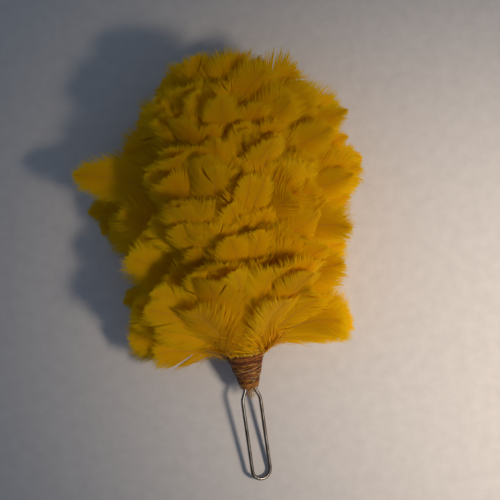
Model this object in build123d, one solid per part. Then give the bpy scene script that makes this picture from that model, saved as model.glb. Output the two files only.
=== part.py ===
from build123d import *
from functools import cache
import math
import os

# A hand-tied feather plume (a hackle), lying on its side on a table.
#
# One steel wire is bent into a hairpin. Its rounded end is the fastening loop, and its two legs run
# side by side up through the head as the stem. A tape is wound over the legs. Feathers are tied to the
# stem in tiers: their quills lie along it under a band of thread, and the vanes flare out above. The
# lowest tier's quills lie like staves round a tapered core, and thread wound over them makes the neck.
#
# Millimetres. +Z is up from the table, +Y runs from the loop to the feather tips, and the origin is
# the middle of the bottom of the whole plume. Parts are made in the stem's own frame and placed last.
# In the stem's frame Z runs along the stem towards the tips, from 0 at the neck's top rim, X points
# away from the table and Y to the right. An azimuth is an angle from X towards Y.

# ---- How the plume lies ----
STEM_PITCH = 9.0  # degrees: the stem rises from the loop to the crown
STEM_HEIGHT = 8.1  # height of the stem's axis over the table at the neck's rim
LOOP_ROLL = 20.0  # degrees: the loop is turned about the stem, left leg up

# ---- Wire ----
WIRE_RADIUS = 0.6
LEG_OFFSET = 0.65  # from the stem's axis to each leg's centre
LEG_TOP = 84.0
FLARE_START = -9.9  # where the legs part, inside the neck
LOOP_HALF_WIDTH = 3.15
SHOULDER = -15.5  # where the legs are parallel again
LOOP_STRAIGHT_END = -39.9
FLARE_BEND = 4.0  # bend radius at the flare and the shoulder

# ---- Stem tape ----
TAPE_INNER = 1.35
TAPE_OUTER = 1.7
TAPE_BOTTOM = 0.6
TAPE_TOP = 85.0

# ---- Neck ----
NECK_LENGTH = 11.8
RIM_RADIUS = 6.0  # outside of the thread at the top rim
WAIST_RADIUS = 4.8
WAIST_AT = -5.0
TIP_RADIUS = 2.5
THREAD_SHELL = 0.35  # thickness of one layer of wound thread
THREAD_PITCH = 0.6  # from one turn to the next on a tier's band
BED_CLEARANCE = 0.05
CORE_TOP = 0.5
CORE_STEP = -7.1  # the staves end here, and the core fills the shell below

# ---- Quills ----
QUILL_RADIUS = 0.4
STEM_QUILL_AT = 2.15  # from the stem's axis to a quill tied to the stem
STEM_QUILL_LENGTH = 6.0
STAVE_TOP = (5.2, 0.3)  # radius and height where the lowest tier's quills leave the neck
STAVE_BOTTOM = (3.35, -6.8)

# ---- Tier bands ----
BAND_INNER = 2.6
BAND_BOTTOM, BAND_TOP = -5.5, -1.6  # below the tier's vanes

# ---- Feathers ----
VANE_THICKNESS = 0.6
VANE_WIDTH = 22.0
SECTOR_GAP = 1.2  # degrees left free between neighbours
STEM_TIERS = 7
FIRST_STEM_TIER = 8.0
TIER_SPACING = 9.5
CROWN_AT = 74.2
CROWN_FEATHERS = 8
CROWN_LIE = (20, 72, 30)
CROWN_UNDER = (14, 30, 23)
CENTRE_AT = 83.5
CENTRE_FEATHERS = 6
CENTRE_LIE = (6, 34, 12.5)

# One tier's feathers on the right: azimuth and width of each sector, and how it lies. A lie is the
# angle from the stem at the base, the same at the tip, and the length. The left is the same.
TOP_LIE = (26, 62, 42)
SIDE_SECTORS = [
    (30, 30, (26, 64, 42)),
    (59.5, 29, (28, 70, 44)),
    (82, 16, None),  # the splayed ones, below
    (98, 16, None),
    (122, 32, (38, 18, 37)),
    (159, 42, (28, 9, 36)),
]
SECTORS = [(0, 30, TOP_LIE)] + SIDE_SECTORS + [(-a, width, lie) for a, width, lie in SIDE_SECTORS]

# Feathers beside the stem splay out over the table, the middle tiers the furthest. Tier 0 is the neck's.
SPLAYS = [
    (50, 98, 37),
    (40, 88, 42),
    (38, 82, 44),
    (38, 82, 48),
    (38, 86, 53),
    (38, 86, 51.5),
    (36, 82, 48),
    (34, 74, 42),
]

# Feathers past this azimuth face the table and are pressed towards the stem. The stem rises from the
# table, so they open wider from tier to tier to reach it: degrees at the base and at the tip.
UNDER_AZIMUTH = 110
UNDER_OPENING = (1.2, 2.5)
NECK_UNDER = {122: (26, 20, 27), 159: (20, 5, 30)}  # the neck tier's own

# On top the upper tiers close towards the crown: how much the tip angle and the length drop.
CLOSING = {6: (6, 2), 7: (16, 6)}


def wire_centreline():
    """The hairpin in the stem's YZ plane: a straight leg, a flare, a side, and half of the end arc."""
    leg = FilletPolyline(
        [
            (0, LEG_OFFSET, LEG_TOP),
            (0, LEG_OFFSET, FLARE_START),
            (0, LOOP_HALF_WIDTH, SHOULDER),
            (0, LOOP_HALF_WIDTH, LOOP_STRAIGHT_END),
        ],
        radius=FLARE_BEND,
    )
    end = ThreePointArc(
        (0, LOOP_HALF_WIDTH, LOOP_STRAIGHT_END),
        (0, 0, LOOP_STRAIGHT_END - LOOP_HALF_WIDTH),
        (0, -LOOP_HALF_WIDTH, LOOP_STRAIGHT_END),
    )
    return Wire([*leg.edges(), *end.edges(), *leg.mirror(Plane.XZ).edges()])


def wire(radius):
    path = wire_centreline()
    start = Plane(origin=(0, LEG_OFFSET, LEG_TOP), z_dir=(0, 0, -1))
    return Rot(0, 0, LOOP_ROLL) * sweep(start * Circle(radius), path=path)


def tube(inner, outer, bottom, top):
    ring = Circle(outer) - Circle(inner)
    return Pos(0, 0, bottom) * extrude(ring, top - bottom)


def neck_radius(height):
    """Outside of the neck's thread: a parabola through the rim, the waist and the tip."""
    points = [(0, RIM_RADIUS), (WAIST_AT, WAIST_RADIUS), (-NECK_LENGTH, TIP_RADIUS)]
    total = 0
    for i, (at, radius) in enumerate(points):
        others = [p[0] for j, p in enumerate(points) if j != i]
        total += radius * math.prod((height - o) / (at - o) for o in others)
    return total


def neck_arc(bottom, top, offset):
    """The neck's profile between two heights, moved out by offset, as an arc in the XZ plane."""
    heights = [bottom, (bottom + top) / 2, top]
    return ThreePointArc(*[(neck_radius(h) + offset, 0, h) for h in heights])


def neck_shell(bottom, top, inner, outer):
    """A closed layer of thread round the neck between two heights and two offsets."""
    inside, outside = neck_arc(bottom, top, inner), neck_arc(bottom, top, outer)
    edges = [inside, outside, Line(inside @ 0, outside @ 0), Line(inside @ 1, outside @ 1)]
    return revolve(make_face(edges), Axis.Z)


def neck_core():
    """The padded core: tapered seat for the staves above the step, and full size below it."""
    stave_gap = QUILL_RADIUS + 2 * BED_CLEARANCE
    lower = neck_arc(0.2 - NECK_LENGTH, CORE_STEP, -THREAD_SHELL - BED_CLEARANCE)
    seat_top = (STAVE_TOP[0] - stave_gap, 0, CORE_TOP)
    seat_bottom = (STAVE_BOTTOM[0] - stave_gap, 0, CORE_STEP)
    outline = Polyline(
        [lower @ 1, seat_bottom, seat_top, (0, 0, CORE_TOP), (0, 0, 0.2 - NECK_LENGTH), lower @ 0]
    )
    body = revolve(make_face([lower, *outline.edges()]), Axis.Z)
    return body - wire(WIRE_RADIUS + BED_CLEARANCE)


def tier_height(number):
    return FIRST_STEM_TIER + TIER_SPACING * (number - 1)


@cache
def tier_band():
    """A tier's thread, wound in side-by-side turns that show as ridges. Its tier is at height 0."""
    turns = int((BAND_TOP - BAND_BOTTOM) / THREAD_PITCH)
    band = tube(BAND_INNER, BAND_INNER + THREAD_PITCH / 4, BAND_BOTTOM, BAND_TOP)
    for turn in range(turns):
        height = BAND_BOTTOM + THREAD_PITCH * (turn + 0.5)
        ridge = Torus(BAND_INNER + THREAD_PITCH / 2, THREAD_PITCH / 2 - 0.02)
        band += Pos(0, 0, height) * ridge
    return band


def vane_point(start, leave, tip, length, share, offset=0.0):
    """Radius and height on a vane's mid line, a circular arc, at a share of its length. An offset
    moves the point out along the arc's normal."""
    a, b = math.radians(leave), math.radians(tip)
    bend = (b - a) / length
    angle = a + (b - a) * share
    radius = start[0] + (math.cos(a) - math.cos(angle)) / bend
    height = start[1] + (math.sin(angle) - math.sin(a)) / bend
    return radius - offset * math.cos(angle), height + offset * math.sin(angle)


def vane_outline(start, end):
    """A feather's outline, narrow at the quill and round at the tip, as a prism through the vane."""
    along = Vector(end[0] - start[0], 0, end[1] - start[1])
    reach = along.length
    half = [(0.0, 0.06), (0.14, 0.22), (0.38, 0.78), (0.66, 1.0), (0.9, 0.66)]
    right = [(reach * x, VANE_WIDTH / 2 * y) for x, y in half]
    left = [(x, -y) for x, y in reversed(right)]
    rim = Spline([*right, (reach, 0), *left])
    face = make_face([rim, Line(rim @ 1, rim @ 0)])
    flat = Plane(origin=(start[0], 0, start[1]), x_dir=along, z_dir=along.cross(Vector(0, 1, 0)))
    return extrude(flat * face, VANE_WIDTH, both=True)


@cache
def feather(start, quill_foot, sector, leave, tip, length):
    """One feather at azimuth 0: a curved vane, clipped to its sector, and its quill as one solid."""
    width = sector - SECTOR_GAP
    arcs = []
    for offset in (-VANE_THICKNESS / 2, VANE_THICKNESS / 2):
        places = [vane_point(start, leave, tip, length, t, offset) for t in (0, 0.5, 1)]
        arcs.append(ThreePointArc(*[(r, 0, h) for r, h in places]))
    low, high = arcs
    band = make_face([low, high, Line(low @ 0, high @ 0), Line(low @ 1, high @ 1)])
    wedge = Rot(0, 0, -width / 2) * revolve(band, Axis.Z, revolution_arc=width)
    vane = wedge & vane_outline(start, vane_point(start, leave, tip, length, 1))
    foot, head = Vector(quill_foot[0], 0, quill_foot[1]), Vector(start[0], 0, start[1])
    lean = Plane(origin=foot, z_dir=head - foot)
    quill = lean * extrude(Circle(QUILL_RADIUS), (head - foot).length + QUILL_RADIUS / 2)
    return vane + quill


def stem_feather(sector, leave, tip, length):
    """A feather tied to the stem, its vane starting at height 0."""
    foot = (STEM_QUILL_AT, -STEM_QUILL_LENGTH)
    return feather((STEM_QUILL_AT, 0), foot, sector, leave, tip, length)


def tier_lie(number, azimuth, lie):
    """How the feather at an azimuth lies in a tier."""
    if lie is None:
        return SPLAYS[number]
    leave, tip, length = lie
    if abs(azimuth) > UNDER_AZIMUTH:
        if number == 0:
            return NECK_UNDER[abs(azimuth)]
        above = number - 1
        return leave + UNDER_OPENING[0] * above, tip + UNDER_OPENING[1] * above, length
    closes, shorter = CLOSING.get(number, (0, 0))
    return leave, tip - closes, length - shorter


def stem_tier(number):
    """A whorl of feathers tied to the stem. Tier 1 is the lowest of these."""
    made = []
    for azimuth, sector, lie in SECTORS:
        one = stem_feather(sector, *tier_lie(number, azimuth, lie))
        made.append(Pos(0, 0, tier_height(number)) * Rot(0, 0, azimuth) * one)
    return made


def neck_tier():
    """The lowest whorl, whose quills are the neck's staves."""
    made = []
    for azimuth, sector, lie in SECTORS:
        one = feather(STAVE_TOP, STAVE_BOTTOM, sector, *tier_lie(0, azimuth, lie))
        made.append(Rot(0, 0, azimuth) * one)
    return made


def crown():
    """The closing whorl, open on top and half shut where it faces the table."""
    sector = 360 / CROWN_FEATHERS
    made = []
    for azimuth in [sector * i for i in range(CROWN_FEATHERS)]:
        faces_table = math.cos(math.radians(azimuth)) < -0.1
        one = stem_feather(sector, *(CROWN_UNDER if faces_table else CROWN_LIE))
        made.append(Pos(0, 0, CROWN_AT) * Rot(0, 0, azimuth) * one)
    return made


def centre():
    """The small feathers that fill the middle of the crown."""
    sector = 360 / CENTRE_FEATHERS
    one = stem_feather(sector, *CENTRE_LIE)
    return [Pos(0, 0, CENTRE_AT) * Rot(0, 0, sector * i) * one for i in range(CENTRE_FEATHERS)]


def parts():
    """Every node's solids in the stem's frame."""
    tip = -NECK_LENGTH
    made = {
        "wire_loop": [wire(WIRE_RADIUS)],
        "stem_tape": [tube(TAPE_INNER, TAPE_OUTER, TAPE_BOTTOM, TAPE_TOP)],
        "neck_core": [neck_core()],
        "neck_binding": [neck_shell(tip, 0, -THREAD_SHELL, 0)],
        "rim_whipping": [neck_shell(-2.4, -0.1, BED_CLEARANCE, THREAD_SHELL)],
        "tip_whipping": [neck_shell(tip + 0.2, tip + 2.2, BED_CLEARANCE, THREAD_SHELL)],
        "binding_knot": [Pos(0.7, 0, tip - 0.45) * Sphere(0.55)],
        "trimmed_quill_ends": [Pos(-0.7, 0, tip - 2.1) * Cone(0.25, 0.6, 4.2)],
        "neck_tier_feathers": neck_tier(),
        "crown_feathers": crown(),
        "crown_band": [Pos(0, 0, CROWN_AT) * tier_band()],
        "centre_feathers": centre(),
        "centre_band": [Pos(0, 0, CENTRE_AT) * tier_band()],
    }
    for number in range(1, STEM_TIERS + 1):
        made[f"stem_tier_{number}_feathers"] = stem_tier(number)
        made[f"stem_tier_{number}_band"] = [Pos(0, 0, tier_height(number)) * tier_band()]
    return made


def main():
    pitch = math.radians(STEM_PITCH)
    stem = Plane(
        origin=(0, 0, STEM_HEIGHT),
        x_dir=(0, -math.sin(pitch), math.cos(pitch)),
        z_dir=(0, math.cos(pitch), math.sin(pitch)),
    )
    placed = {}
    for name, solids in parts().items():
        placed[name] = [stem * solid for solid in solids]
    box = Compound(children=[s for solids in placed.values() for s in solids]).bounding_box()
    centre = Pos(-(box.min.X + box.max.X) / 2, -(box.min.Y + box.max.Y) / 2, -box.min.Z)
    os.makedirs("parts", exist_ok=True)
    for name, solids in placed.items():
        export_step(Compound(children=[centre * s for s in solids]), f"parts/{name}.step")
    print("size", box.size, "stem's rim point", centre * Pos(0, 0, STEM_HEIGHT))


main()
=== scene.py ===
import math
import bpy
import numpy as np
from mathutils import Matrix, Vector


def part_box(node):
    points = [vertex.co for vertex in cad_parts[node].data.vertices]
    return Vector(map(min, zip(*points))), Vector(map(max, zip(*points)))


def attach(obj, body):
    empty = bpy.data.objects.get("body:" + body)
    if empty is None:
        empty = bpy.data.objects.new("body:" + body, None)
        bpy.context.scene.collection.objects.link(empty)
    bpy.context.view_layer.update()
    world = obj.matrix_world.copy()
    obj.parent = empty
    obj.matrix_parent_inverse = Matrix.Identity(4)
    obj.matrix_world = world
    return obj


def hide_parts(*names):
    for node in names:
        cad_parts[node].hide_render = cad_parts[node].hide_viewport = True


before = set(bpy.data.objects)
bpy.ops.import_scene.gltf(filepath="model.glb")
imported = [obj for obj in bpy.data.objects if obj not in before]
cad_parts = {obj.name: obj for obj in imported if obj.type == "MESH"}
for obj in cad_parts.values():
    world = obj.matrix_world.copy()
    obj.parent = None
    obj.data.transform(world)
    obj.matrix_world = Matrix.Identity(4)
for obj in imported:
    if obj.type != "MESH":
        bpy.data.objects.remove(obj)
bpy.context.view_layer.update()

MM = 0.001

# ---- The stem's own frame, from the thread bands that are wound round it ----
BAND_MIDDLE = -3.55 * MM  # a band's middle, from the height where its tier's vanes start
FIRST_TIER = 8.0 * MM  # the first stem tier's height over the neck's rim
STEM_TIERS = 7


def middle(node):
    low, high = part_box(node)
    return np.array((low + high) / 2)


first_band = middle("stem_tier_1_band")
last_band = middle(f"stem_tier_{STEM_TIERS}_band")
STEM = (last_band - first_band) / np.linalg.norm(last_band - first_band)
RIM = first_band - STEM * (FIRST_TIER + BAND_MIDDLE)
RIGHT = np.array((1.0, 0.0, 0.0))
UP = np.cross(RIGHT, STEM)
SKY = np.array((0.0, 0.0, 1.0))


def tier_base(band):
    """The middle of the stem where a band's tier starts."""
    return middle(band) - STEM * BAND_MIDDLE


def around(azimuth):
    """The direction away from the stem at an azimuth in degrees: 0 is up from the table, 90 right."""
    a = math.radians(azimuth)
    return UP * math.cos(a) + RIGHT * math.sin(a)


def unit(v):
    return v / np.maximum(np.linalg.norm(v, axis=-1, keepdims=True), 1e-12)


def smooth(x, low, high):
    t = np.clip((np.asarray(x, float) - low) / (high - low), 0, 1)
    return t * t * (3 - 2 * t)


def wander(rng, x, bumps):
    """Smooth noise from -1 to 1 for x from 0 to 1, with about that many bumps."""
    knots = rng.uniform(-1, 1, bumps + 2)
    at = np.clip(np.asarray(x, float), 0, 1) * bumps
    i = np.minimum(at.astype(int), bumps)
    f = smooth(at - i, 0, 1)
    return knots[i] * (1 - f) + knots[i + 1] * f


# ---- A mesh that grows ribbon by ribbon ----
class Ribbons:
    """Many thin ribbons, each with look values and a place of its own on the bake image."""

    def __init__(self):
        self.points, self.quads, self.looks, self.uvs = [], [], [], []
        self.count = 0

    def add(self, left, right, looks, across, rows, row_height):
        """left and right hold the ribbons' edges, (ribbon, step, 3), and looks is (ribbon, step, 4).
        across is the span of u and rows the v where each ribbon starts."""
        n, steps = left.shape[:2]
        index = self.count + np.arange(n * steps * 2).reshape(n, steps, 2)
        a, b = index[:, :-1], index[:, 1:]
        quads = np.stack([a[..., 0], a[..., 1], b[..., 1], b[..., 0]], -1)
        u = np.broadcast_to(np.linspace(*across, steps)[None, :, None], (n, steps, 2))
        v = np.broadcast_to(rows[:, None, None], (n, steps, 2)) + np.array((0.0, row_height))
        self.points.append(np.stack([left, right], 2).reshape(-1, 3))
        self.quads.append(quads.reshape(-1, 4))
        self.looks.append(np.repeat(looks[:, :, None], 2, 2).reshape(-1, 4))
        self.uvs.append(np.stack([u, v], -1).reshape(-1, 2))
        self.count += n * steps * 2

    def piece(self, name, material):
        points = np.concatenate(self.points)
        quads = np.concatenate(self.quads)
        mesh = bpy.data.meshes.new(name)
        mesh.vertices.add(len(points))
        mesh.vertices.foreach_set("co", points.ravel())
        mesh.loops.add(quads.size)
        mesh.loops.foreach_set("vertex_index", quads.ravel())
        mesh.polygons.add(len(quads))
        mesh.polygons.foreach_set("loop_start", np.arange(0, quads.size, 4))
        mesh.polygons.foreach_set("use_smooth", np.ones(len(quads), bool))
        look = mesh.attributes.new("look", "FLOAT_COLOR", "POINT")
        look.data.foreach_set("color", np.concatenate(self.looks).ravel())
        layer = mesh.uv_layers.new(name="OFBake")
        layer.data.foreach_set("uv", np.concatenate(self.uvs)[quads.ravel()].ravel())
        mesh.update(calc_edges=True)
        mesh.validate()
        mesh.materials.append(material)
        obj = bpy.data.objects.new(name, mesh)
        bpy.context.scene.collection.objects.link(obj)
        return obj


# ---- Materials ----
def new_material(name):
    made = bpy.data.materials.new(name)
    made.use_nodes = True
    nodes = made.node_tree.nodes
    return made, nodes, made.node_tree.links, nodes["Principled BSDF"], nodes["Material Output"]


def noise(nodes, links, scale, detail, stretch=(1, 1, 1)):
    """A noise texture in the object's own coordinates, in bumps per metre."""
    coord = nodes.new("ShaderNodeTexCoord")
    mapping = nodes.new("ShaderNodeMapping")
    mapping.inputs["Scale"].default_value = stretch
    texture = nodes.new("ShaderNodeTexNoise")
    texture.inputs["Scale"].default_value = scale
    texture.inputs["Detail"].default_value = detail
    links.new(coord.outputs["Object"], mapping.inputs["Vector"])
    links.new(mapping.outputs["Vector"], texture.inputs["Vector"])
    return texture.outputs["Fac"]


def ramp(nodes, links, value, stops):
    """Colours along a value: stops are (position, (r, g, b))."""
    made = nodes.new("ShaderNodeValToRGB")
    elements = made.color_ramp.elements
    while len(elements) < len(stops):
        elements.new(0.5)
    for element, (position, color) in zip(elements, stops):
        element.position = position
        element.color = (*color, 1)
    links.new(value, made.inputs["Fac"])
    return made.outputs["Color"]


def mix(nodes, links, factor, a, b, blend="MIX"):
    made = nodes.new("ShaderNodeMix")
    made.data_type = "RGBA"
    made.blend_type = blend
    for socket, value in ((made.inputs[0], factor), (made.inputs[6], a), (made.inputs[7], b)):
        if isinstance(value, (int, float)):
            socket.default_value = value
        elif isinstance(value, tuple):
            socket.default_value = (*value, 1)
        else:
            links.new(value, socket)
    return made.outputs[2]


def bump(nodes, links, shader, height, strength, distance):
    made = nodes.new("ShaderNodeBump")
    made.inputs["Strength"].default_value = strength
    made.inputs["Distance"].default_value = distance
    links.new(height, made.inputs["Height"])
    links.new(made.outputs["Normal"], shader.inputs["Normal"])


def feather_material():
    """Dyed feather: golden yellow barbs that let light through, deeper in colour near the quill."""
    made, nodes, links, shader, output = new_material("dyed_feather")
    look = nodes.new("ShaderNodeAttribute")
    look.attribute_name = "look"
    parts = nodes.new("ShaderNodeSeparateColor")
    links.new(look.outputs["Color"], parts.inputs["Color"])
    tone, along_barb, along_vane = parts.outputs
    barb = ramp(nodes, links, along_barb, [
        (0.0, (0.98, 0.62, 0.002)),
        (0.5, (1.0, 0.68, 0.002)),
        (1.0, (1.0, 0.75, 0.004)),
    ])
    vane = ramp(nodes, links, along_vane, [(0.0, (0.96, 0.92, 0.9)), (0.4, (1, 0.99, 1)), (1.0, (1, 1, 1))])
    dyed = mix(nodes, links, 1.0, barb, vane, "MULTIPLY")
    depth = ramp(nodes, links, tone, [
        (0.0, (0.96, 0.90, 0.6)),
        (0.5, (1, 0.98, 0.9)),
        (1.0, (1, 1.03, 1.2)),
    ])
    toned = mix(nodes, links, 1.0, dyed, depth, "MULTIPLY")
    patches = noise(nodes, links, 90, 3)
    blotches = ramp(nodes, links, patches, [(0.3, (0.95, 0.92, 0.8)), (0.7, (1, 1, 1))])
    mottled = mix(nodes, links, 1.0, toned, blotches, "MULTIPLY")
    quill_yellow = (0.86, 0.55, 0.07)
    color = mix(nodes, links, look.outputs["Alpha"], mottled, quill_yellow)
    links.new(color, shader.inputs["Base Color"])
    shader.inputs["Roughness"].default_value = 0.55
    shader.inputs["Specular IOR Level"].default_value = 0.25
    shader.inputs["Specular Tint"].default_value = (1.0, 0.8, 0.2, 1)
    shader.inputs["Sheen Weight"].default_value = 0.35
    shader.inputs["Sheen Roughness"].default_value = 0.45
    shader.inputs["Sheen Tint"].default_value = (1.0, 0.7, 0.05, 1)
    glow = nodes.new("ShaderNodeBsdfTranslucent")
    links.new(color, glow.inputs["Color"])
    both = nodes.new("ShaderNodeMixShader")
    both.inputs["Fac"].default_value = 0.46
    links.new(shader.outputs["BSDF"], both.inputs[1])
    links.new(glow.outputs["BSDF"], both.inputs[2])
    links.new(both.outputs["Shader"], output.inputs["Surface"])
    return made


def thread_material():
    """Waxed thread: copper, orange and plum strands by their look value, with the dye rubbed thin."""
    made, nodes, links, shader, output = new_material("waxed_thread")
    look = nodes.new("ShaderNodeAttribute")
    look.attribute_name = "look"
    parts = nodes.new("ShaderNodeSeparateColor")
    links.new(look.outputs["Color"], parts.inputs["Color"])
    strand = ramp(nodes, links, parts.outputs[0], [
        (0.0, (0.06, 0.022, 0.02)),
        (0.3, (0.22, 0.06, 0.022)),
        (0.6, (0.48, 0.16, 0.03)),
        (0.85, (0.62, 0.30, 0.05)),
        (1.0, (0.70, 0.45, 0.12)),
    ])
    worn = ramp(nodes, links, noise(nodes, links, 700, 4), [(0.3, (0.5, 0.45, 0.45)), (0.65, (1, 1, 1))])
    color = mix(nodes, links, 1.0, strand, worn, "MULTIPLY")
    links.new(color, shader.inputs["Base Color"])
    shader.inputs["Roughness"].default_value = 0.45
    shader.inputs["Specular IOR Level"].default_value = 0.5
    bump(nodes, links, shader, noise(nodes, links, 3500, 2), 0.4, 0.00005)
    return made


def quill_material():
    """Dyed quill ends: olive yellow, streaked along the stem."""
    made, nodes, links, shader, output = new_material("quill_bundle")
    streaks = noise(nodes, links, 900, 3, (1, 0.12, 1))
    color = ramp(nodes, links, streaks, [
        (0.3, (0.22, 0.10, 0.012)),
        (0.5, (0.55, 0.30, 0.02)),
        (0.7, (0.75, 0.48, 0.06)),
    ])
    links.new(color, shader.inputs["Base Color"])
    shader.inputs["Roughness"].default_value = 0.5
    bump(nodes, links, shader, streaks, 0.5, 0.0001)
    return made


def tape_material(name, light, dark):
    """Cotton tape or padding: a plain weave of soft matte fibres."""
    made, nodes, links, shader, output = new_material(name)
    weave = nodes.new("ShaderNodeTexWave")
    weave.inputs["Scale"].default_value = 900
    weave.inputs["Distortion"].default_value = 2
    coord = nodes.new("ShaderNodeTexCoord")
    links.new(coord.outputs["Object"], weave.inputs["Vector"])
    color = ramp(nodes, links, weave.outputs["Fac"], [(0.2, dark), (0.8, light)])
    links.new(color, shader.inputs["Base Color"])
    shader.inputs["Roughness"].default_value = 0.9
    bump(nodes, links, shader, weave.outputs["Fac"], 0.6, 0.0001)
    return made


def wire_material():
    """Drawn steel wire: long fine scratches, and dull brown patches where it was handled."""
    made, nodes, links, shader, output = new_material("steel_wire")
    scratches = noise(nodes, links, 2200, 3, (1, 0.03, 1))
    patches = noise(nodes, links, 160, 4)
    bright = ramp(nodes, links, scratches, [(0.35, (0.15, 0.145, 0.135)), (0.65, (0.36, 0.345, 0.32))])
    dull = ramp(nodes, links, patches, [(0.42, (0.62, 0.55, 0.48)), (0.6, (1, 1, 1))])
    color = mix(nodes, links, 1.0, bright, dull, "MULTIPLY")
    links.new(color, shader.inputs["Base Color"])
    rough = nodes.new("ShaderNodeMapRange")
    rough.inputs["To Min"].default_value = 0.42
    rough.inputs["To Max"].default_value = 0.24
    links.new(patches, rough.inputs["Value"])
    links.new(rough.outputs["Result"], shader.inputs["Roughness"])
    shader.inputs["Metallic"].default_value = 1.0
    bump(nodes, links, shader, scratches, 0.25, 0.00004)
    return made


def floor_material():
    """A pale matte table top with a faint mottle."""
    made, nodes, links, shader, output = new_material("pale_table")
    mottle = noise(nodes, links, 260, 6)
    color = ramp(nodes, links, mottle, [(0.3, (0.70, 0.69, 0.675)), (0.7, (0.76, 0.75, 0.735))])
    links.new(color, shader.inputs["Base Color"])
    shader.inputs["Roughness"].default_value = 0.8
    shader.inputs["Specular IOR Level"].default_value = 0.2
    bump(nodes, links, shader, noise(nodes, links, 1400, 3), 0.15, 0.0001)
    return made


FEATHER = feather_material()
THREAD = thread_material()
QUILL = quill_material()
TAPE = tape_material("cotton_tape", (0.55, 0.42, 0.2), (0.3, 0.2, 0.08))
PADDING = tape_material("neck_padding", (0.5, 0.33, 0.08), (0.3, 0.17, 0.03))
WIRE = wire_material()


# ---- How the feathers lie: angle from the stem at the base and at the tip, and length in mm ----
NECK_TIER, CROWN, CENTRE = 0, 8, 9
# Of the feathers that splay over the table at the sides, for the neck tier and each tier above it
SPLAYS = [
    (50, 98, 39),
    (40, 88, 44),
    (38, 82, 47),
    (38, 84, 52),
    (38, 88, 57),
    (38, 88, 56),
    (38, 86, 50),
    (42, 90, 42),
]
# By tier, where they reach less far on the left
LEFT_SPLAYS = {5: (40, 90, 47), 6: (45, 92, 36), 7: (45, 88, 29)}
RIGHT_SHORTER = 3  # mm that the splayed feathers are shorter on the right
CLOSING = {6: (6, 7), 7: (12, 11)}  # by tier: degrees less at the tip, and mm shorter, to round off the top
UNDER_OPENING = (1.2, 2.5)  # degrees more at the base and at the tip for each tier, under the stem


def splayed(tier):
    """A tier's splayed feathers: on the left, and on the right."""
    base, tip, length = SPLAYS[tier]
    return LEFT_SPLAYS.get(tier, SPLAYS[tier]), (base, tip, length - RIGHT_SHORTER)


def neck_lies():
    """The neck tier: an open fan over the top, spread wide at the sides."""
    below, beside = (20, 5, 30), (26, 20, 27)
    left, right = splayed(NECK_TIER)
    lies = {-180: below, -138: beside, -122: left, -95: left, -84: (46, 84, 38), -62: (38, 68, 42)}
    lies.update({-48: (32, 60, 44), -25: (22, 46, 43), 0: (17, 36, 41), 35: (25, 52, 43)})
    lies.update({55: (32, 60, 46), 74: right, 104: right, 125: beside, 180: below})
    return lies


def stem_lies(tier):
    """A stem tier: over the top, splayed at the sides, pressed below. Those of the upper left lie
    closer to the stem, over the ones that are splayed on the table."""
    closes, shorter = CLOSING.get(tier, (0, 0))
    base_opens, tip_opens = (opens * (tier - 1) for opens in UNDER_OPENING)
    below = (28 + base_opens, 9 + tip_opens, 36)
    beside = (38 + base_opens, 18 + tip_opens, 37)
    left, right = splayed(tier)
    return {
        -180: below,
        -138: beside,
        -122: left,
        -95: left,
        -84: (10, 8, 34 - shorter),
        -62: (18, 26, 37 - shorter),
        -48: (29, 56 - closes, 44 - shorter),
        -25: (24 - closes / 3, 40 - closes, 45 - shorter),
        0: (22 - closes / 3, 30 - closes, 44 - shorter),
        35: (25, 38 - closes, 45 - shorter),
        55: (32, 60 - closes, 46 - shorter),
        74: right,
        104: right,
        125: beside,
        180: below,
    }


def crown_lies():
    """The crown: short, and opened at the sides."""
    under = (12, 24, 23)
    lies = {-180: under, -120: under, -95: (20, 60, 27), -60: (16, 36, 23), 0: (12, 38, 23)}
    lies.update({50: (20, 60, 26), 90: (28, 82, 30), 125: under, 180: under})
    return lies


def lie_at(tier, azimuth):
    """How a tier's feather at an azimuth lies, from the azimuths that are given on either side of it."""
    if tier == CENTRE:
        return np.array((10, 40, 12.0))
    lies = neck_lies() if tier == NECK_TIER else crown_lies() if tier == CROWN else stem_lies(tier)
    at = (azimuth + 180) % 360 - 180
    return np.array([np.interp(at, list(lies), [lie[i] for lie in lies.values()]) for i in range(3)])


# ---- One feather ----
SPINE_STEPS = 26
BARB_STEPS = 6
BARB_SPACING = 0.19  # mm along the quill
BARB_HALF_WIDTH = 0.17 * MM
# Tables over the height on the vane, from 0 at its foot to 1 at its tip: the barbs' angle from the quill
# in degrees, and their length in half widths of the vane
BARB_LEANS = ((0, 0.15, 0.4, 0.7, 0.9, 1), (72, 57, 49, 45, 38, 8))
BARB_LENGTHS = ((0, 0.15, 0.4, 0.7, 0.86, 0.95, 1), (0.6, 1.0, 1.3, 1.32, 0.98, 0.58, 0.26))
QUILL_RADIUS = 0.30 * MM
QUILL_SIDES = 5
FLOOR_GAP = 0.35 * MM


def over_floor(points):
    """Bends points that would reach the table so that they lie just over it."""
    soft = 1.2 * MM
    high = (points[..., 2] - FLOOR_GAP) / soft
    lifted = np.where(high > 20, high, np.log1p(np.exp(np.minimum(high, 20))))
    points = points.copy()
    points[..., 2] = FLOOR_GAP + lifted * soft
    return points


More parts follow.
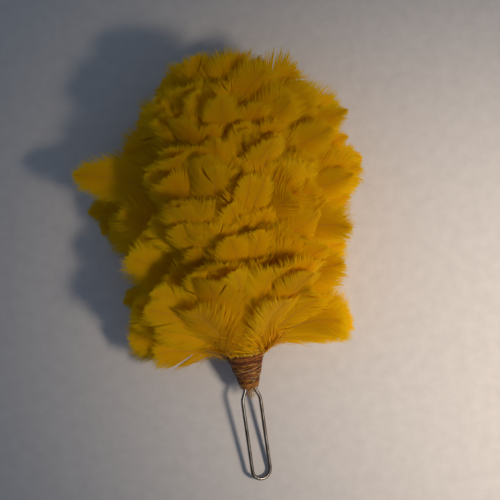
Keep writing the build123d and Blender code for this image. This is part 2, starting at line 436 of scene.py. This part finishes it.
def spine(rng, root, azimuth, lie, stray):
    """The quill's line through the vane, with its direction, outer face and side at each step."""
    leave, tip, length = lie
    t = np.linspace(0, 1, SPINE_STEPS)
    out = around(azimuth)
    across = np.cross(STEM, out)
    curl = rng.uniform(-10, 10) * stray
    angle = np.radians(leave + (tip - leave) * t + curl * t**3 + 3 * stray * wander(rng, t, 3))
    sway = np.radians(rng.uniform(-26, 26) * stray) * t + np.radians(5 * stray) * wander(rng, t, 2)
    along = np.cos(angle)[:, None] * STEM + np.sin(angle)[:, None] * out + sway[:, None] * across
    along = unit(along)
    steps = along * length * MM / (SPINE_STEPS - 1)
    line = root + np.concatenate([np.zeros((1, 3)), np.cumsum(steps[:-1], 0)])
    outer = np.cos(angle)[:, None] * out - np.sin(angle)[:, None] * STEM
    return t, over_floor(line), along, outer


def face(rng, t, along, outer, azimuth, stray):
    """Turns the vane's outer face: feathers at the side of the plume roll to lie flat, face up."""
    azimuth = (azimuth + 180) % 360 - 180
    side_on = smooth(-azimuth, 5, 60) if azimuth < 0 else smooth(azimuth, 20, 75)
    rise = (0.15 + 0.75 * side_on) * smooth(t, 0.0, 0.55)[:, None]
    turned = outer * (1 - rise) + SKY * rise
    turned = unit(turned - along * np.sum(turned * along, -1, keepdims=True))
    side = np.cross(along, turned)
    twist = np.radians(rng.uniform(-17, 17) * stray * t + 8 * stray * wander(rng, t, 3))[:, None]
    return turned * np.cos(twist) + side * np.sin(twist), side * np.cos(twist) - turned * np.sin(twist)


def read_at(u, t, values):
    """Values along the quill, known at the steps t, read at the heights u."""
    return np.stack([np.interp(u, t, values[:, i]) for i in range(3)], -1)


def barb_leans(rng, u, loose, stray):
    """Each barb's angle from the quill at its root, in radians. The vane may be split in one place."""
    count = len(u)
    lean = np.radians(np.interp(u, *BARB_LEANS))
    lean += np.radians(1.2) * wander(rng, u, 6) + np.radians(0.8) * rng.uniform(-1, 1, count)
    for split in rng.uniform(0.25, 0.9, rng.integers(0, 2)):
        lean += np.radians(rng.uniform(2, 6)) * np.exp(-np.abs(u - split) / 0.04) * np.sign(split - u)
    return lean + np.radians(20) * stray * loose * rng.uniform(-1, 1, count)


def barb_lengths(rng, u, loose, half_width):
    """Each barb's length: a little uneven, and longer where the vane is downy."""
    length = np.interp(u, *BARB_LENGTHS)
    uneven = 0.04 * wander(rng, u, 6) + 0.09 * rng.normal(0, 1, len(u)).clip(-2, 2)
    return length * (half_width * MM * (1 + uneven)) * (1 + 0.15 * loose)


def barb_headings(rng, u, v, loose, stray, cup, lean):
    """The way each barb goes at each of its steps v: its turn from the quill, and its rise off the vane."""
    count = len(u)
    rise = np.radians(4) * wander(rng, u, 4)
    rise += np.radians(28) * stray**2 * loose * rng.uniform(-1, 1, count)
    bend = np.radians(rng.uniform(6, 18))
    curls = (0.35 * loose[:, None]) * wander(rng, v, 3) * rng.uniform(-1, 1, (count, 1))
    ends = np.radians(5) * rng.normal(0, 1, (count, 1)).clip(-2, 2) * v**2
    turn = lean[:, None] - bend * v + curls + ends
    return turn[..., None], (rise[:, None] * (1 - 0.5 * v) - cup * v)[..., None]


def barb_looks(rng, u, v, tone):
    """Look values: the barb's tone, how far along the barb, how far up the vane, and 0 for no quill."""
    looks = np.ones((len(u), BARB_STEPS, 4)) * (tone, 0, 0, 0)
    looks[..., 0] += 0.06 * rng.uniform(-1, 1, (len(u), 1))
    looks[..., 1] = v
    looks[..., 2] = u[:, None]
    return looks


def feather(grow, rng, cell, cells, root, foot, azimuth, lie, half_width, tone, down, stray):
    """Adds one feather: a row of barbs on each side of its quill. down is how much of it is fluff, and
    stray how freely it differs from its neighbours. cell is its place on the bake image."""
    t, line, along, outer = spine(rng, root, azimuth, lie, stray)
    normal, side = face(rng, t, along, outer, azimuth, stray)
    grid = math.ceil(math.sqrt(cells))
    left_edge, low_edge = (cell % grid) / grid, (cell // grid) / grid
    cup = rng.uniform(0.1, 0.55)
    count = int(lie[2] / BARB_SPACING)
    v = np.linspace(0, 1, BARB_STEPS)
    for sign in (-1, 1):
        u = np.linspace(0.06, 1.0, count) + rng.uniform(-0.3, 0.3, count) / count
        u = np.clip(u, 0, 1)
        loose = np.clip(1 - smooth(u, 0.12, 0.42 + 0.3 * down) + down * 0.5, 0, 1)
        start, ahead, face_out, aside = (read_at(u, t, a)[:, None] for a in (line, along, normal, side))
        lean = barb_leans(rng, u, loose, stray)
        reach = barb_lengths(rng, u, loose, half_width)
        turn, rise = barb_headings(rng, u, v, loose, stray, cup, lean)
        flat = np.cos(turn) * ahead + sign * np.sin(turn) * aside
        heading = unit(flat * np.cos(rise) + face_out * np.sin(rise))
        steps = heading[:, :-1] * (reach / (BARB_STEPS - 1))[:, None, None]
        barb = over_floor(start + np.concatenate([np.zeros((count, 1, 3)), np.cumsum(steps, 1)], 1))
        tilt = rng.uniform(0.03, 0.09, count)[:, None, None]
        wide = unit(np.cross(face_out, heading) + face_out * tilt)
        thin = BARB_HALF_WIDTH * (1 - 0.35 * loose[:, None]) * (1 - 0.9 * smooth(v, 0.55, 1.02))
        edge = wide * thin[..., None]
        first_u = left_edge + (sign + 1) / 4 / grid
        rows = low_edge + np.linspace(0, 0.97, count) / grid
        looks = barb_looks(rng, u, v, tone)
        across = (first_u, first_u + 0.48 / grid)
        grow.add(barb - edge, barb + edge, looks, across, rows, 0.8 / count / grid)
    quill(grow, t, np.concatenate([foot[None], line]), normal, side, tone, (left_edge, low_edge, grid))


def quill(grow, t, line, normal, side, tone, place):
    """The feather's own shaft: a tapered rod from its foot below the vane to its tip."""
    left_edge, low_edge, grid = place
    low_edge += 0.975 / grid
    normal, side = np.concatenate([normal[:1], normal]), np.concatenate([side[:1], side])
    radius = (QUILL_RADIUS * np.interp(np.concatenate([[0], t]), (0, 0.3, 1), (1, 0.6, 0.16)))[:, None]
    turns = np.radians(range(0, 360, 360 // QUILL_SIDES))
    corners = np.stack([line + radius * (normal * math.cos(a) + side * math.sin(a)) for a in turns])
    looks = np.ones((QUILL_SIDES, len(line), 4)) * (tone, 0.5, 0.5, 1)
    rows = low_edge + np.arange(QUILL_SIDES) * 0.004 / grid
    across = (left_edge, left_edge + 0.9 / grid)
    grow.add(corners, np.roll(corners, -1, 0), looks, across, rows, 0.003 / grid)


# ---- The tiers ----
SEED = 20  # of the feathers' random differences, plus the tier's number
VANES_PER_TIER, FLUFF_PER_TIER = 28, 10
NECK_VANES, NECK_FLUFF = 30, 10
SIDE_VANES = (-128, -112, 88, 104)  # azimuths of more vanes that splay over the table
TIER_TURN = 47  # degrees from the first feather of one tier to that of the next
TURN_JITTER = 9  # degrees
CROWDING = 10  # degrees by which feathers are drawn towards the top, where they are seen
NECK_HALF_WIDTHS, STEM_HALF_WIDTHS, CROWN_HALF_WIDTHS = (6.5, 9.5), (6.0, 10.0), (6.0, 8.5)  # mm
LEAST_LIE_CHANGE, MOST_LIE_CHANGE = (-0.18, -0.24, -0.16), (0.25, 0.24, 0.05)  # shares of a lie
PAST_QUILL = 5  # mm, about how far the last barbs reach past the quill's tip
DOWNY_LIE = (1.25, 1.0, 0.72)  # a downy feather's lie, as shares of a vane's
NECK_SHIFTS, STEM_SHIFTS = (-1.8, 0.4), (-5.5, 5.5)  # mm along the stem from the tier's base
STEM_QUILL_AT = 2.15 * MM  # radius at which a stem tier's quills lie
NECK_VANES_AT, NECK_QUILLS_AT = 5.0 * MM, 3.2 * MM  # radii of the neck tier's vanes and quill feet
QUILL_FOOT = 6 * MM  # how far below the tier's base the quills start


def tier_turns(tier, vanes, fluff):
    """The azimuths of a tier's vanes, and of the shorter downy feathers that fill in below them."""
    vane_turns = [360 * i / vanes + tier * TIER_TURN for i in range(vanes)]
    vane_turns += SIDE_VANES if tier < CROWN else ()
    return vane_turns, [360 * i / fluff + tier * TIER_TURN for i in range(fluff)]


def random_lie(rng, tier, azimuth, downy):
    """How one feather lies: as others of its tier do, but a little different from each of them."""
    change = rng.uniform(LEAST_LIE_CHANGE, MOST_LIE_CHANGE)
    lie = lie_at(tier, azimuth) * (1 + change * (0.4 if tier == NECK_TIER else 1))
    lie[2] -= PAST_QUILL
    return lie * DOWNY_LIE if downy else lie


def random_half_width(rng, tier):
    """Half a vane's width in mm."""
    if tier == NECK_TIER:
        return rng.uniform(*NECK_HALF_WIDTHS)
    return rng.uniform(*(STEM_HALF_WIDTHS if tier < CROWN else CROWN_HALF_WIDTHS))


def tier_piece(name, tier, base, vanes, fluff, vanes_at=STEM_QUILL_AT, quills_at=STEM_QUILL_AT):
    """One tier of feathers all round the stem, which takes the place of the CAD's feathers."""
    node = f"{name}_feathers"
    rng = np.random.default_rng(SEED + tier)
    grow = Ribbons()
    vane_turns, fluff_turns = tier_turns(tier, vanes, fluff)
    turns = vane_turns + fluff_turns
    for i, turn in enumerate(turns):
        downy = i >= len(vane_turns)
        azimuth = turn + rng.uniform(-TURN_JITTER, TURN_JITTER)
        azimuth -= CROWDING * math.sin(math.radians(azimuth))
        lie = random_lie(rng, tier, azimuth, downy)
        shift = rng.uniform(*(NECK_SHIFTS if tier == NECK_TIER else STEM_SHIFTS))
        shift *= 0.3 if tier >= CROWN else 1
        root = base + around(azimuth) * vanes_at + STEM * shift * MM
        foot = base + around(azimuth) * quills_at - STEM * QUILL_FOOT
        feather(
            grow, rng, i, len(turns), root, foot, azimuth, lie,
            half_width=random_half_width(rng, tier),
            tone=float(np.clip(rng.normal(0.5, 0.22), 0, 1)),
            down=0.4 if downy else rng.uniform(0, 0.06),
            stray=0.75 if tier == NECK_TIER else 0.95,
        )
    piece = grow.piece(f"{name}_plumage", FEATHER)
    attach(piece, "root")
    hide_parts(node)


tier_piece("neck_tier", NECK_TIER, RIM, NECK_VANES, NECK_FLUFF, NECK_VANES_AT, NECK_QUILLS_AT)
for number in range(1, STEM_TIERS + 1):
    name = f"stem_tier_{number}"
    tier_piece(name, number, tier_base(f"{name}_band"), VANES_PER_TIER, FLUFF_PER_TIER)
for name, tier, vanes, fluff in (("crown", CROWN, 16, 7), ("centre", CENTRE, 8, 4)):
    tier_piece(name, tier, tier_base(f"{name}_band"), vanes, fluff)


# ---- The neck ----
NECK_SEED = 5
CROSSING_STRANDS = 34
NECK_POINTS = ((-11.8, 2.5), (-5.0, 4.8), (0.0, 6.0))  # height from the rim and radius in mm


def neck_radius(height):
    """Outside of the neck in mm at a height in mm: a parabola through three points."""
    total = 0.0
    for at, radius in NECK_POINTS:
        others = [h for h, _ in NECK_POINTS if h != at]
        total = total + radius * math.prod((height - h) / (at - h) for h in others)
    return total


def on_neck(height, turn, proud=0.0):
    """A point on the neck at a height in mm and a turn in radians, standing proud by some mm."""
    radius = neck_radius(height) + proud
    return RIM + STEM * height * MM + (UP * math.cos(turn) + RIGHT * math.sin(turn)) * radius * MM


def strand(grow, path, radius, tone, row, rows, sides=5):
    """A thread along a path of points, as a thin round rod."""
    line = np.array(path)
    ahead = unit(np.gradient(line, axis=0))
    helper = np.where(np.abs(ahead @ STEM)[:, None] > 0.9, RIGHT, STEM)
    first = unit(np.cross(ahead, helper))
    second = np.cross(ahead, first)
    around_it = 2 * math.pi * np.arange(sides) / sides
    corners = np.stack([line + radius * (first * math.cos(a) + second * math.sin(a)) for a in around_it])
    looks = np.ones((sides, len(line), 4)) * (tone, 0, 0, 0)
    v = row / rows + np.arange(sides) * 0.15 / rows
    grow.add(np.roll(corners, -1, 0), corners, looks, (0.01, 0.99), v, 0.14 / rows)


def winding(grow, rng, low, high, turns, radius, proud, tone, row, rows, start=0.0, hand=1):
    """Thread wound from one height to another, a little uneven, as one strand."""
    steps = max(int(abs(turns) * 26), 12)
    share = np.linspace(0, 1, steps)
    uneven = 0.16 * wander(rng, share, max(int(abs(turns) * 2), 4))
    heights = low + (high - low) * share + uneven
    turned = start + hand * 2 * math.pi * turns * share
    path = [on_neck(h, a, proud) for h, a in zip(heights, turned)]
    strand(grow, path, radius, tone, row, rows)


def thread_piece(name, node, windings, seed):
    """One layer of thread. Each winding is low, high, turns, radius, proud, tone, start and hand.
    The heights, the radius and how proud the strand stands are in mm, and the start is in radians."""
    rng = np.random.default_rng(seed)
    grow = Ribbons()
    for row, (low, high, turns, radius, proud, tone, start, hand) in enumerate(windings):
        winding(grow, rng, low, high, turns, radius * MM, proud, tone, row, len(windings), start, hand)
    piece = grow.piece(name, THREAD)
    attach(piece, "root")
    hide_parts(node)


def crossing_windings(rng):
    """The neck's main thread: close turns from tip to rim under strands that cross steeply."""
    made = [(-11.6, -0.1, 24, 0.16, -0.25, 0.5, 0.3, 1)]
    for _ in range(CROSSING_STRANDS):
        low = rng.uniform(-11.4, -7.5)
        high = rng.uniform(-4.5, -0.3)
        turns = rng.uniform(0.25, 1.3)
        tone = rng.choice((0.1, 0.4, 0.6, 0.75, 0.9, 1.0))
        hand = rng.choice((-1, 1))
        radius = rng.uniform(0.09, 0.16)
        proud = rng.uniform(-0.1, 0.1)
        start = rng.uniform(0, 6.3)
        made.append((low, high, turns, radius, proud, tone, start, hand))
    return made


def band_windings(rng, low, high, count):
    """Turns lying side by side between two heights, in changing colours."""
    made = []
    for i in range(count):
        at = low + (high - low) * (i + 0.5) / count
        tone = rng.choice((0.3, 0.55, 0.7, 0.85))
        lean = rng.uniform(-0.25, 0.25)
        proud = 0.12 + 0.08 * rng.random()
        start = rng.uniform(0, 6.3)
        made.append((at - lean, at + lean, 1.04, 0.15, proud, tone, start, 1))
    return made


neck_rng = np.random.default_rng(NECK_SEED)
thread_piece("neck_thread_winding", "neck_binding", crossing_windings(neck_rng), 6)
thread_piece("rim_thread_winding", "rim_whipping", band_windings(neck_rng, -2.4, -0.1, 6), 7)
thread_piece("tip_thread_winding", "tip_whipping", band_windings(neck_rng, -11.6, -9.6, 8), 8)


def quill_bundle():
    """The quills side by side under the thread, as a tapered bundle with a rounded ridge for each."""
    grow = Ribbons()
    heights = np.linspace(-11.7, 0.5, 24)
    turns = np.linspace(0, 2 * math.pi, 145)
    ridges = 0.16 * np.abs(np.sin(turns * 13 / 2))
    rings = np.array([[on_neck(h, a, -0.62 + r) for h in heights] for a, r in zip(turns, ridges)])
    looks = np.ones((len(turns) - 1, len(heights), 4)) * (0.5, 0.5, 0.5, 0)
    rows = np.linspace(0, 0.99, len(turns) - 1)
    grow.add(rings[:-1], rings[1:], looks, (0.01, 0.99), rows, 1 / len(turns))
    ends = grow.piece("quill_bundle", QUILL)
    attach(ends, "root")
    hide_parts("neck_core")


def wisps():
    """The trimmed ends that stick out below the neck between the wire's legs, and a few stray fibres."""
    rng = np.random.default_rng(17)
    grow = Ribbons()
    count = 26
    for i in range(count):
        long = rng.uniform(1.5, 4.5)
        turn = rng.uniform(0, 6.3)
        start = on_neck(-11.4, turn, -1.9)
        lean = (UP * math.cos(turn) + RIGHT * math.sin(turn)) * rng.uniform(-0.1, 0.32)
        t = np.linspace(0, 1, 7)
        curl = np.outer(wander(rng, t, 3), RIGHT) * 0.5 * MM
        path = start + np.outer(t * long * MM, -STEM) + np.outer(t**2 * long * MM, lean) + curl
        strand(grow, over_floor(path), 0.06 * MM, 0.5, i, count, sides=3)
    piece = grow.piece("trimmed_fibres", QUILL)
    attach(piece, "root")
    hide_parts("trimmed_quill_ends")


def knot():
    """The thread's end knot at the neck's tip: a small overhand knot with two short tails."""
    rng = np.random.default_rng(19)
    grow = Ribbons()
    middle_of_knot = middle("binding_knot")
    t = np.linspace(0, 2 * math.pi, 60)
    x, y, z = np.sin(t) + 2 * np.sin(2 * t), np.cos(t) - 2 * np.cos(2 * t), -np.sin(3 * t)
    path = middle_of_knot + (np.outer(x, RIGHT) + np.outer(y, UP) + np.outer(z, STEM)) * 0.16 * MM
    strand(grow, path, 0.14 * MM, 0.5, 0, 3)
    for tail in (0, 1):
        t = np.linspace(0, 1, 10)
        bend = np.outer(wander(rng, t, 2), UP) * 0.6 * MM
        line = path[tail * 20] + np.outer(t * 2.2 * MM, RIGHT * (1 - 1.6 * tail) - STEM * 0.6) + bend
        strand(grow, over_floor(line), 0.1 * MM, 0.4, tail + 1, 3)
    piece = grow.piece("thread_knot", THREAD)
    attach(piece, "root")
    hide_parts("binding_knot")


quill_bundle()
wisps()
knot()

# ---- CAD nodes that stay, in better materials ----
for node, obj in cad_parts.items():
    if node == "wire_loop":
        obj.data.materials[0] = WIRE
    elif node == "stem_tape":
        obj.data.materials[0] = TAPE
    elif node.endswith("_band"):
        obj.data.materials[0] = PADDING


# ---- Table, light and camera ----
CAMERA_ROLL = -7.9  # degrees: the plume lies a little askew in the picture
LOOK_AT = (6.3 * MM, 5.7 * MM)  # the picture's middle, from the middle of the plume
CAMERA_HEIGHT = 0.45
PICTURE_WIDTH = 0.1667  # on the table
SENSOR = 36.0  # mm
TABLE_HALF = 4.0


def table():
    mesh = bpy.data.meshes.new("table_top")
    half = TABLE_HALF
    corners = [(-half, -half, 0), (half, -half, 0), (half, half, 0), (-half, half, 0)]
    mesh.from_pydata(corners, [], [(0, 1, 2, 3)])
    mesh.materials.append(floor_material())
    top = bpy.data.objects.new("table_top", mesh)
    bpy.context.scene.collection.objects.link(top)


def picture_direction(angle):
    """A direction on the table by its angle in the picture: 0 is right and 90 up."""
    a = math.radians(angle + CAMERA_ROLL)
    return Vector((math.cos(a), math.sin(a), 0))


def lamp(name, angle, distance, height, radius, power, color, aim_angle, aim_distance, spread):
    """A soft spot lamp. Its light falls off smoothly from where it is aimed on the table."""
    light = bpy.data.lights.new(name, "SPOT")
    light.shadow_soft_size = radius
    light.energy = power
    light.color = color
    light.spot_size = math.radians(spread)
    light.spot_blend = 1.0
    obj = bpy.data.objects.new(name, light)
    bpy.context.scene.collection.objects.link(obj)
    centre = Vector((*LOOK_AT, 0))
    obj.location = centre + picture_direction(angle) * distance + Vector((0, 0, height))
    aim = centre + picture_direction(aim_angle) * aim_distance - obj.location
    obj.rotation_euler = aim.to_track_quat("-Z", "Y").to_euler()


def fill_light(color, strength):
    """Light of one colour from all round."""
    world = bpy.data.worlds.new("cool_fill")
    world.use_nodes = True
    background = world.node_tree.nodes["Background"]
    background.inputs["Color"].default_value = (*color, 1)
    background.inputs["Strength"].default_value = strength
    bpy.context.scene.world = world


def camera():
    """Looks straight down, turned so that the plume lies as askew as in the picture."""
    data = bpy.data.cameras.new("camera")
    data.sensor_width = SENSOR
    data.lens = SENSOR * CAMERA_HEIGHT / PICTURE_WIDTH
    obj = bpy.data.objects.new("camera", data)
    obj.location = (*LOOK_AT, CAMERA_HEIGHT)
    obj.rotation_euler = (0, 0, math.radians(CAMERA_ROLL))
    bpy.context.scene.collection.objects.link(obj)
    bpy.context.scene.camera = obj


table()
lamp(
    "warm_key", angle=-17, distance=0.33, height=0.365, radius=0.055, power=8.6,
    color=(1.0, 0.83, 0.68), aim_angle=-20, aim_distance=0.115, spread=41,
)
fill_light((0.60, 0.75, 1.0), 0.16)
bpy.context.scene.view_settings.view_transform = "Standard"
camera()
